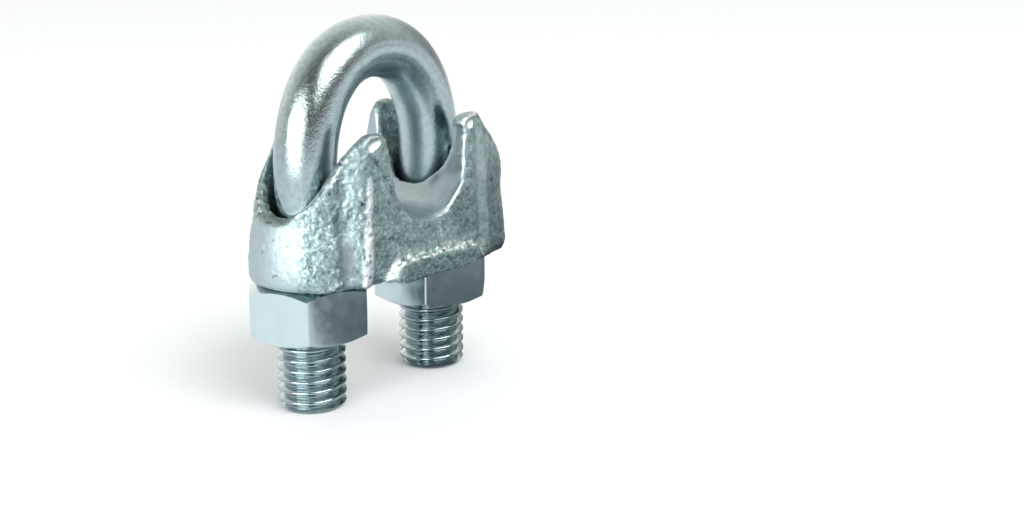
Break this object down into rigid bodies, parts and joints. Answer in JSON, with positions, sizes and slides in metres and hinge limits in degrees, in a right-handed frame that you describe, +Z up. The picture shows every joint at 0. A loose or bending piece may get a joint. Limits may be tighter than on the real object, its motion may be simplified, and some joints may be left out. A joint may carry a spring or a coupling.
{
  "type": "wire rope clip",
  "caption": "Wire rope clip: a threaded U-bolt holds a cast saddle against looped rope, drawn up by hexagon nuts on its legs.",
  "frame": {"origin": "on the plane of the two leg ends, under the middle of the whole clip's bounding box", "axes": "+Z up the legs towards the crown of the U-bolt, +X from the left leg to the right leg, +Y along the rope that lies in the seat, away from the saddle's lip"},
  "size_m": [0.0361, 0.018, 0.044],
  "materials": {
    "rod_zinc": "bright zinc plating on rolled and bent steel rod, glossy with fine mottling",
    "cast_zinc": "zinc plating over a rough malleable iron casting, sparkling, brighter on worn ridges",
    "nut_zinc": "bright zinc plating, smooth satin flats"
  },
  "bodies": {
    "u_bolt": {"u_bolt": "rod_zinc"},
    "saddle": {"saddle": "cast_zinc"},
    "nut_left": {"nut_left": "nut_zinc"},
    "nut_right": {"nut_right": "nut_zinc"}
  },
  "joints": [
    {"name": "saddle_slide", "type": "slide", "parent": "u_bolt", "child": "saddle", "axis": [0, 0, 1], "range_m": [-0.00875, 0.00625]},
    {"name": "nut_left_turn", "type": "hinge", "parent": "saddle", "child": "nut_left", "pos_m": [-0.0108, 0.00145, 0.01205], "axis": [0, 0, 1], "range_deg": [-2520, 1800]},
    {"name": "nut_right_turn", "type": "hinge", "parent": "saddle", "child": "nut_right", "pos_m": [0.0092, 0.00145, 0.01205], "axis": [0, 0, 1], "range_deg": [-2520, 1800]}
  ],
  "couplings": [
    {"joint": "saddle_slide", "follows": "nut_left_turn", "m_per_rad": 0.00019894},
    {"joint": "nut_right_turn", "follows": "nut_left_turn", "ratio": 1}
  ]
}
